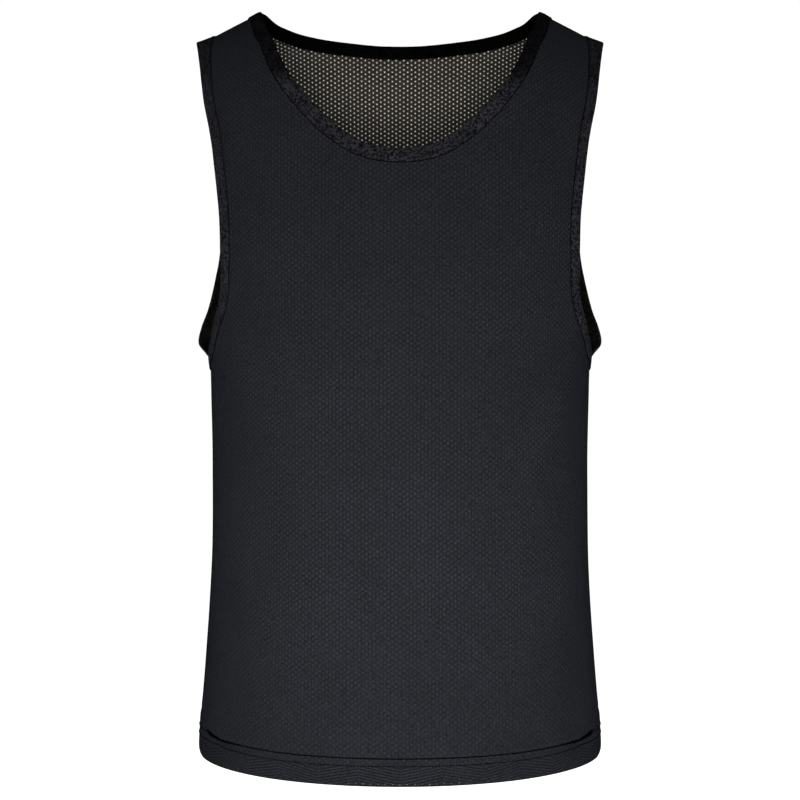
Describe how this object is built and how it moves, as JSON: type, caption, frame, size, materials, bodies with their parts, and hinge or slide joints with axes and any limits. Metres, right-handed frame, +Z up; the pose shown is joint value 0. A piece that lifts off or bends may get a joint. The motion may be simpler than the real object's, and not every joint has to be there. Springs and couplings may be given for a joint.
{
  "type": "mesh training bib",
  "caption": "Sleeveless open-mesh training bib with a scooped neck, deep armholes, taped edges and a turned-up hem, filled out as if worn.",
  "frame": {"origin": "where the wearer's shoulders hold the bib up: on the centre plane, midway between the two shoulder straps and level with the middle of their inner faces", "axes": "+Z up towards the neck, +X to the right seen from the front, and the front faces -Y"},
  "size_m": [0.374, 0.2603, 0.6782],
  "materials": {
    "mesh_cloth": "matt black knitted polyester mesh with rows of small eyelet holes",
    "binding_tape": "matt black knitted tape, folded double and sewn"
  },
  "bodies": {
    "root": {"front_panel": "mesh_cloth", "back_panel": "mesh_cloth", "front_hem_turn_up": "mesh_cloth", "back_hem_turn_up": "mesh_cloth", "neck_binding": "binding_tape", "armhole_binding_left": "binding_tape", "armhole_binding_right": "binding_tape"}
  },
  "joints": []
}
